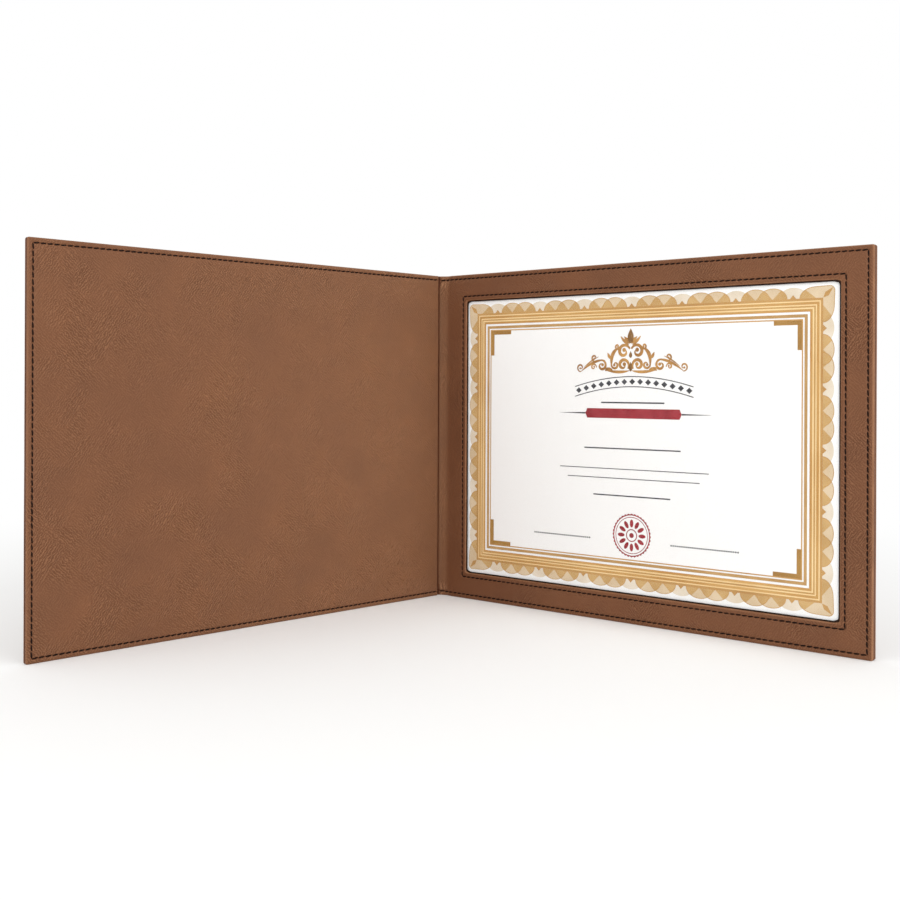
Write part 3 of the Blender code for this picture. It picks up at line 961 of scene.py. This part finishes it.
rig.replaces(frameLeather, "frame_facing", "spine_lining")
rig.replaces(covers[front], "front_cover_skin")
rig.replaces(covers[back], "back_cover_skin", "spine_skin")

# Flat sizes of the sheets, with both turned ends together
sheetCut = {"turnIn": 6.0, "bridge": 10.0, "windowTurnIn": 3.0}
cutWidth, cutHeight = coverWidth + sheetCut["turnIn"], coverHeight + sheetCut["turnIn"]
bridgedWidth = coverWidth + sheetCut["bridge"] + sheetCut["turnIn"]
cutOut = [size - 2 * border - sheetCut["windowTurnIn"] for size in (coverWidth, coverHeight)]
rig.sheet(lining, flat=(cutWidth * mm, cutHeight * mm), held="stretched", rests_on=["front_board"])
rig.sheet(frameLeather, flat=(bridgedWidth * mm, cutHeight * mm), held="stretched", rests_on=["frame_card"],
         area=(bridgedWidth * cutHeight - cutOut[0] * cutOut[1]) * mm * mm)
for side, padding in ((front, "front_padding"), (back, "back_padding")):
    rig.sheet(covers[side], flat=((cutWidth + creaseX) * mm, cutHeight * mm), held="stretched",
             rests_on=[padding])
for piece, slotName in ((lining, "inner_leatherette"), (frameLeather, "inner_leatherette"),
                        (covers[front], "outer_leatherette"), (covers[back], "outer_leatherette")):
    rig.slot(piece, slotName)

# Solids that stay: boards, cards, foam, backing, sheet, film and one hidden thread take their own finishes
finishes = {"front_padding": "polyurethane_foam", "back_padding": "polyurethane_foam",
            "front_board": "greyboard", "back_board": "greyboard", "spine_card": "kraft_card",
            "frame_card": "kraft_card", "back_lining": "backing_paper",
            "certificate_sheet": "certificate_paper"}
solidMaterials = {node: stockMaterials[finish] for node, finish in finishes.items()}
solidMaterials["window_film"] = filmMaterial
solidMaterials["window_bobbin_thread"] = threadMaterial
for node, material in solidMaterials.items():
    nodes[node].data.materials.clear()
    nodes[node].data.materials.append(material)
nodes["window_film"].visible_shadow = False

# The print, in mm from the middle of the window, right and up. Layer 0 lies lowest, and each higher layer
# lies over the ones before it.
printed = {"layer": 0.012, "ink": 0.01, "shift": -1.2, "clear": 0.015}
middleU, middleH = coverWidth / 2, coverHeight / 2
halfPrint = (coverWidth / 2 - border, coverHeight / 2 - border)


def inkPoint(p, q, layer):
    level = sheetFace + printed["clear"] + printed["layer"] * layer
    return inSpace(onCover(middleU + printed["shift"] + p, level), middleH + q)


def patch(bm, outline, layer, ink):  # one flat patch of ink
    face = bm.faces.new([bm.verts.new(inkPoint(p, q, layer)) for p, q in outline])
    face.material_index = ink


def disc(x, y, radius, steps):
    turns = [math.tau * s / steps for s in range(steps)]
    return [(x + radius * math.cos(a), y + radius * math.sin(a)) for a in turns]


def stroke(bm, path, widths, layer, ink):  # a pen stroke: a ribbon of changing width along a path
    sides = []
    for k, spot in enumerate(path):
        before, after = path[max(k - 1, 0)], path[min(k + 1, len(path) - 1)]
        way = Vector((after[0] - before[0], after[1] - before[1])).normalized()
        width = widths(k / (len(path) - 1)) / 2
        spots = [(spot[0] - way.y * s * width, spot[1] + way.x * s * width) for s in (1, -1)]
        sides.append([bm.verts.new(inkPoint(p, q, layer)) for p, q in spots])
    for a, b in zip(sides, sides[1:]):
        bm.faces.new((a[0], a[1], b[1], b[0])).material_index = ink


signs = [(-1, -1), (1, -1), (1, 1), (-1, 1)]  # of the four corners, in order round a rectangle


def band(bm, outer, inner, layer, ink):  # a rectangular border band between two insets from the window
    outs = [halfPrint[0] - outer, halfPrint[1] - outer]
    ins = [halfPrint[0] - inner, halfPrint[1] - inner]
    for (a, b), (c, d) in zip(signs, signs[1:] + signs[:1]):
        patch(bm, [(a * outs[0], b * outs[1]), (c * outs[0], d * outs[1]),
                   (c * ins[0], d * ins[1]), (a * ins[0], b * ins[1])], layer, ink)


def printPiece(name, bm, inkNames):
    bmesh.ops.recalc_face_normals(bm, faces=bm.faces)
    bm.normal_update()
    out = flat(inward, back)
    bmesh.ops.reverse_faces(bm, faces=[face for face in bm.faces if face.normal.dot(out) < 0])
    piece = finishPiece(name, bm, inkMaterials[inkNames[0]], thickness=printed["ink"])
    for ink in inkNames[1:]:
        piece.data.materials.append(inkMaterials[ink])
    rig.ride(piece, "certificate")
    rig.slot(piece, "certificate_paper")
    return piece


# Border: pairs of overlapping arches, darker where they cross, a paler arch between pairs, then gold bands
borderPrint = {"tips": 3.2, "base": 9.6, "pitch": 38.0, "steps": 18, "spread": 0.15, "half": 0.25,
               "line": 0.34, "crossing": 54, "bud": (1.9, 0.34), "cornerShift": 0.45, "cornerTip": 1.04,
               "cornerRound": 2.8,
               # bands: outer inset, inner inset and ink
               "bands": [(9.6, 11.0, 0), (11.0, 11.7, 1), (11.7, 13.2, 2), (13.2, 13.9, 1), (13.9, 14.8, 0),
                         (14.8, 15.7, 1), (15.7, 17.2, 2), (18.6, 20.4, 3), (21.3, 22.0, 0)]}


def scallopBorder():
    bm = bmesh.new()
    tall = borderPrint["base"] - borderPrint["tips"]
    steps, bud = borderPrint["steps"], borderPrint["bud"]
    crossing = math.radians(borderPrint["crossing"])
    lengths = [halfPrint[0] - borderPrint["base"], halfPrint[1] - borderPrint["base"]]
    for quarter in range(4):
        half, distance = lengths[quarter % 2], lengths[1 - quarter % 2]
        count = round(2 * half / borderPrint["pitch"])
        pitch = 2 * half / count
        wide = borderPrint["half"] * pitch
        spin = Matrix.Rotation(math.radians(90 * quarter), 2)

        def lay(points, layer, ink):
            patch(bm, [tuple(spin @ Vector((x, distance + y))) for x, y in points], layer, ink)

        def arch(middle, way=1, reach=math.pi):
            turns = [reach * s / steps for s in range(steps + 1)]
            return [(middle + way * wide * math.cos(a), tall * math.sin(a)) for a in turns]

        for k in range(count):
            middle = -half + pitch * (k + 0.5)
            lay(arch(middle), 0, 0)
            lay([(middle - bud[0], 0.0), (middle + bud[0], 0.0), (middle, bud[1] * tall)], 5, 3)
        for k in range(1, count):
            for shift in (-borderPrint["spread"], borderPrint["spread"]):
                middle = -half + pitch * (k + shift)
                lay(arch(middle), 1, 1)
                # Darker where neighbouring arches cross: the outer thirds of each
                for way, layer in ((-1, 4), (1, 5)):
                    lay(arch(middle, way, crossing) + [(middle, 0.0)], layer, 2)
                outline = [tuple(spin @ Vector((x, distance + y))) for x, y in arch(middle)]
                stroke(bm, outline, lambda t: borderPrint["line"], 6, 3)
    # Corners: two arches that run into one rounded tip, with a leaf along the diagonal
    wide = borderPrint["half"] * borderPrint["pitch"]
    tip, bend = borderPrint["cornerTip"] * tall, borderPrint["cornerRound"]
    start = -borderPrint["cornerShift"] * wide
    turns = [math.radians(90 * s / steps) for s in range(steps + 1)]
    arm = [(start - wide * math.cos(a), tall * math.sin(a)) for a in turns]
    petal = arm + [(tip - bend + bend * math.sin(a), tip - bend + bend * math.cos(a)) for a in turns]
    petal += [(y, x) for x, y in reversed(arm)]
    end = tip - 0.3 * bend
    leaf = [(0.0, 0.0), (0.2 * end, 0.55 * end), (end, end), (0.55 * end, 0.2 * end)]
    third = [(start, 0.0)] + [point for a, point in zip(turns, arm) if a <= crossing]
    for sx in (-1, 1):
        for sy in (-1, 1):
            def place(points):
                return [(sx * (lengths[0] + x), sy * (lengths[1] + y)) for x, y in points]

            patch(bm, place(petal + [(0.0, 0.0)]), 6, 1)
            stroke(bm, place(petal), lambda t: borderPrint["line"], 7, 3)
            patch(bm, place(third), 7, 2)
            patch(bm, place([(y, x) for x, y in third]), 7, 2)
            patch(bm, place(leaf), 8, 3)
    inkNames = ["cream_ink", "pale_sand_ink", "sand_ink", "tan_ink"]
    return printPiece("certificate_scallop_border", bm, inkNames)


def bandBorder():
    bm = bmesh.new()
    for outer, inner, ink in borderPrint["bands"]:
        band(bm, outer, inner, 9, ink)
    inkNames = ["tan_ink", "pale_gold_ink", "gold_ink", "brown_gold_ink"]
    return printPiece("certificate_gold_bands", bm, inkNames)


# Brackets: a plain right angle in each corner, inside the bands
brackets = {"inset": 22.0, "leg": 17.0, "wide": 2.6}


def cornerBrackets():
    bm = bmesh.new()
    leg, wide = brackets["leg"], brackets["wide"]
    for sx in (-1, 1):
        for sy in (-1, 1):
            x, y = sx * (halfPrint[0] - brackets["inset"]), sy * (halfPrint[1] - brackets["inset"])
            outline = [(0, 0), (leg, 0), (leg, wide), (wide, wide), (wide, leg), (0, leg)]
            patch(bm, [(x - sx * p, y - sy * q) for p, q in outline], 7, 0)
    return printPiece("certificate_corner_brackets", bm, ["bracket_ink"])


# Scrollwork: mirrored curls, arms and leaves under a tall middle leaf
scrolls = {
    "middle": (-0.6, 44.6),
    # curls: middle, size, first angle, sweep and width
    "curls": [((4.9, 13.4), 4.6, 160, -420, 2.2), ((5.3, 4.8), 4.2, 215, -430, 2.1),
              ((11.4, 5.0), 2.9, 30, -400, 1.5), ((9.6, 16.6), 1.9, 250, 330, 1.2),
              ((21.4, 4.6), 3.6, 70, 430, 1.7), ((27.0, 9.6), 2.3, 250, 380, 1.2),
              ((27.6, 3.7), 2.2, 190, -400, 1.1), ((37.6, 3.4), 2.7, 265, 400, 1.1)],
    # arms: begin, bend, end and width
    "arms": [((1.4, 17.6), (4.6, 19.6), (7.2, 23.0), 1.9), ((8.6, 15.6), (15.2, 13.6), (14.0, 3.4), 2.5),
             ((19.2, 8.0), (27.0, 8.8), (37.4, 0.8), 1.7), ((23.8, 10.2), (29.0, 8.4), (35.0, 3.6), 0.9),
             ((1.0, 1.2), (8.0, -0.6), (18.4, 1.6), 1.9)],
    # leaves: foot, angle, length and width
    "leaves": [((0.0, 18.6), 90, 9.4, 4.4), ((0.4, 18.4), 46, 6.4, 2.5), ((0.0, 9.2), 90, 4.2, 2.2),
               ((0.0, 0.6), 90, 6.2, 2.6), ((13.2, 1.6), 12, 6.4, 2.3), ((15.0, 8.8), 62, 4.6, 1.9),
               ((19.0, 1.2), 150, 3.4, 1.4)]}


def scrollwork():
    bm = bmesh.new()
    mx, my = scrolls["middle"]
    for mirror in (1, -1):
        for (x, y), size, begin, sweep, wide in scrolls["curls"]:
            path = []
            for k in range(40):
                t = k / 39
                turn = math.radians(begin + sweep * t)
                reach = size * (1 - 0.78 * t)
                path.append((mx + mirror * (x + reach * math.cos(turn)), my + y + reach * math.sin(turn)))
            stroke(bm, path, lambda t: wide * (0.25 + 0.75 * math.sin(math.pi * min(t + 0.12, 1))), 7, 0)
            patch(bm, disc(*path[-1], 0.6 * wide, 14), 8, 0)
        for begin, bend, end, wide in scrolls["arms"]:
            path = []
            for k in range(25):
                t = k / 24
                x, y = [a * (1 - t) ** 2 + 2 * b * t * (1 - t) + c * t * t
                        for a, b, c in zip(begin, bend, end)]
                path.append((mx + mirror * x, my + y))
            stroke(bm, path, lambda t: wide * (0.2 + 0.8 * math.sin(math.pi * t)), 9, 0)
        for (x, y), angle, length, wide in scrolls["leaves"]:
            way = Vector((math.cos(math.radians(angle)), math.sin(math.radians(angle))))
            path = [(mx + mirror * (x + way.x * length * k / 16), my + y + way.y * length * k / 16)
                    for k in range(17)]
            stroke(bm, path, lambda t: wide * math.sin(math.pi * t ** 0.75) + 0.05, 10, 0)
    return printPiece("certificate_scrollwork", bm, ["scroll_ink"])


# Heading: a plain arched band of lozenges between two thin rules
heading = {"middle": (0.6, 29.2), "half": 43.0, "rise": 6.4, "tall": 6.4, "line": 0.55, "lozenges": 15,
           "lozenge": (2.1, 1.9)}


def headingBand():
    bm = bmesh.new()
    mx, my = heading["middle"]

    def spot(s, lift):
        return mx + heading["half"] * s, my + heading["rise"] * (1 - s * s) + lift

    for lift in (0.0, heading["tall"]):
        stroke(bm, [spot(-1 + k / 24, lift) for k in range(49)], lambda t: heading["line"], 7, 0)
    wide, tall = heading["lozenge"]
    for k in range(heading["lozenges"]):
        x, y = spot(-1 + (2 * k + 1) / heading["lozenges"], heading["tall"] / 2)
        patch(bm, [(x - wide, y), (x, y - tall), (x + wide, y), (x, y + tall)], 7, 0)
    return printPiece("certificate_heading_band", bm, ["charcoal_ink"])


# Ribbon: a red bar with pointed ends between two tapered rules
ribbon = {"middle": (0.6, 18.5), "half": 35.0, "tall": 6.2, "point": 1.4, "rule": 55.0}


def ribbonBar():
    bm = bmesh.new()
    mx, my = ribbon["middle"]
    half, tall = ribbon["half"], ribbon["tall"] / 2
    side = half - ribbon["point"]
    patch(bm, [(mx - side, my - tall), (mx + side, my - tall), (mx + half, my), (mx + side, my + tall),
               (mx - side, my + tall), (mx - half, my)], 7, 0)
    for sign in (1, -1):
        path = [(mx + sign * (half + (ribbon["rule"] - half) * k / 8), my) for k in range(9)]
        stroke(bm, path, lambda t: 0.9 * (1 - t) + 0.1, 7, 1)
    return printPiece("certificate_ribbon", bm, ["red_ink", "charcoal_ink"])


# Seal: a toothed rim, two plain rings and a rosette of petals round an eye
seal = {"middle": (0.6, -58.6), "radius": 13.6, "teeth": 36, "tooth": 0.35, "rim": 0.9, "line": (1.9, 2.3),
        "innerRing": (4.0, 3.4), "petals": 12, "petalAt": 7.6, "petal": (2.5, 1.25), "eye": 1.6}


def sealStamp():
    bm = bmesh.new()
    mx, my = seal["middle"]
    radius = seal["radius"]

    def ring(outer, inner, tooth=0.0):
        count = 144
        sides = []
        for k in range(count):
            turn = math.tau * k / count
            reach = outer + tooth * math.cos(seal["teeth"] * turn)
            sides.append([bm.verts.new(inkPoint(mx + r * math.cos(turn), my + r * math.sin(turn), 7))
                          for r in (reach, inner)])
        for a, b in zip(sides, sides[1:] + sides[:1]):
            bm.faces.new((a[0], a[1], b[1], b[0]))

    ring(radius, radius - seal["rim"], seal["tooth"])
    ring(radius - seal["line"][0], radius - seal["line"][1])
    ring(*seal["innerRing"])
    for k in range(seal["petals"]):
        turn = math.tau * k / seal["petals"]
        way, beside = Vector((math.cos(turn), math.sin(turn))), Vector((-math.sin(turn), math.cos(turn)))
        outline = []
        for c, s in disc(0.0, 0.0, 1.0, 16):
            spot = way * (seal["petalAt"] + seal["petal"][0] * c) + beside * (seal["petal"][1] * s)
            outline.append((mx + spot.x, my + spot.y))
        patch(bm, outline, 7, 0)
    patch(bm, disc(mx, my, seal["eye"], 16), 7, 0)
    return printPiece("certificate_seal", bm, ["red_ink"])


# Rules: the blank lines of a form. Solid ones have a middle, a length and a width, dotted ones no width.
rules = {"solid": [(0.6, 25.4, 46.0, 0.9), (0.0, -4.0, 70.0, 0.8), (0.0, -17.0, 108.0, 0.5),
                   (0.0, -23.0, 96.0, 0.5), (0.0, -34.0, 56.0, 0.8)],
         "dotted": [(-52.5, -62.5, 45.0), (51.0, -62.5, 46.0)], "dot": 0.55, "dotPitch": 1.5}


def formRules():
    bm = bmesh.new()
    for x, y, length, wide in rules["solid"]:
        patch(bm, [(x + p * length / 2, y + q * wide / 2) for p, q in signs], 7, 0)
    for x, y, length in rules["dotted"]:
        count = round(length / rules["dotPitch"])
        for k in range(count):
            spot = x - length / 2 + length * (k + 0.5) / count
            patch(bm, disc(spot, y, rules["dot"], 10), 7, 0)
    return printPiece("certificate_form_rules", bm, ["charcoal_ink"])


for make in (scallopBorder, bandBorder, cornerBrackets, scrollwork, headingBand, ribbonBar, sealStamp,
             formRules):
    print("printed:", make().name)


def seenByEye(tree):  # 1 for what the camera sees directly, in a gloss or through something clear
    rays = addNode(tree, "ShaderNodeLightPath", {}).outputs
    seen = rays["Is Camera Ray"]
    for kind in ("Is Glossy Ray", "Is Transmission Ray"):
        seen = addNode(tree, "ShaderNodeMath", {
            0: seen, 1: rays[kind]}, operation="ADD", use_clamp=True).outputs[0]
    return seen


# Floor: one pale sheet of paper, matt, that keeps the folder's soft shadow and fades to white around it
floorValues = {"size": 12.0, "colour": "f3f3f2", "glow": 0.1, "fadeFrom": 0.3, "fadeTo": 0.75}


def paleFloor():
    bm = bmesh.new()
    bmesh.ops.create_grid(bm, x_segments=1, y_segments=1, size=floorValues["size"] / 2)
    mesh = bpy.data.meshes.new("pale_floor")
    bm.to_mesh(mesh)
    bm.free()
    floor = bpy.data.objects.new("pale_floor", mesh)
    scene.collection.objects.link(floor)
    material, tree, shader = newMaterial("matt_white_paper_floor")
    seen = seenByEye(tree)
    glow = addNode(tree, "ShaderNodeMath", {
        0: seen, 1: floorValues["glow"]}, operation="MULTIPLY").outputs[0]
    place = addNode(tree, "ShaderNodeTexCoord", {}).outputs["Object"]
    distance = addNode(tree, "ShaderNodeVectorMath", {0: place}, operation="LENGTH").outputs["Value"]
    far = addNode(tree, "ShaderNodeMapRange", {
        "Value": distance, "From Min": floorValues["fadeFrom"], "From Max": floorValues["fadeTo"]},
        interpolation_type="SMOOTHSTEP").outputs["Result"]
    far = addNode(tree, "ShaderNodeMath", {0: far, 1: seen}, operation="MULTIPLY").outputs[0]
    feed(tree, shader, {
        "Base Color": linear(floorValues["colour"]), "Roughness": 0.9, "Specular IOR Level": 0.0,
        "Emission Color": (1, 1, 1, 1), "Emission Strength": glow})
    white = addNode(tree, "ShaderNodeEmission", {"Color": (1, 1, 1, 1), "Strength": 1.0}).outputs[0]
    mixed = addNode(tree, "ShaderNodeMixShader", {0: far, 1: shader.outputs[0], 2: white}).outputs[0]
    tree.links.new(mixed, tree.nodes["Material Output"].inputs["Surface"])
    mesh.materials.append(material)
    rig.stage(floor)


# Light: an even white room, a large soft lamp in front, one on the right and a weak one on the left
room = {"strength": 0.82}
lamps = {
    "frontSoftbox": {"at": (0.1, -2.3, 0.6), "aim": (0.0, 0.05, 0.11), "size": 1.2, "power": 17.0},
    "rightSoftbox": {"at": (0.95, -1.15, 1.0), "aim": (-0.05, 0.0, 0.11), "size": 1.1, "power": 5.5},
    "leftSoftbox": {"at": (-1.2, -0.75, 0.75), "aim": (0.1, 0.0, 0.11), "size": 0.9, "power": 2.2}}


def studioLight():
    world = bpy.data.worlds.new("white_room")
    scene.world = world
    world.use_nodes = True
    tree = world.node_tree
    tree.nodes.clear()
    seen = seenByEye(tree)
    strength = addNode(tree, "ShaderNodeMapRange", {
        "Value": seen, "To Min": room["strength"], "To Max": 1.0}).outputs["Result"]
    background = addNode(tree, "ShaderNodeBackground", {"Color": (1, 1, 1, 1), "Strength": strength})
    addNode(tree, "ShaderNodeOutputWorld", {"Surface": background.outputs[0]})
    for name, values in lamps.items():
        light = bpy.data.lights.new(name, "AREA")
        light.size = values["size"]
        light.energy = values["power"]
        lamp = bpy.data.objects.new(name, light)
        lamp.location = values["at"]
        lamp.rotation_euler = (Vector(values["aim"]) - lamp.location).to_track_quat("-Z", "Y").to_euler()
        scene.collection.objects.link(lamp)


# Camera: looks level from a little left of the spine, rolled slightly, its frame shifted down to centre
# the folder
view = {"lens": 46.12, "at": (-0.0279, -0.7254, 0.1494), "turn": 2.216, "roll": 0.242, "shiftY": -0.0703}


def photoCamera():
    data = bpy.data.cameras.new("camera")
    data.lens = view["lens"]
    data.sensor_width = 36.0
    data.shift_y = view["shiftY"]
    data.clip_start = 0.01
    camera = bpy.data.objects.new("camera", data)
    turn = Matrix.Rotation(math.radians(-view["turn"]), 4, "Z") @ Matrix.Rotation(math.radians(90), 4, "X")
    roll = Matrix.Rotation(math.radians(view["roll"]), 4, "Z")
    camera.matrix_world = Matrix.Translation(view["at"]) @ turn @ roll
    scene.collection.objects.link(camera)
    scene.camera = camera


paleFloor()
studioLight()
photoCamera()
scene.view_settings.view_transform = "Standard"
print("stage, light and camera set")

with open("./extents.json", "w") as report:
    sizes = {"cad": [list(corner) for corner in cadBox], "visual": [list(corner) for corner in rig.bounds()]}
    json.dump(sizes, report)
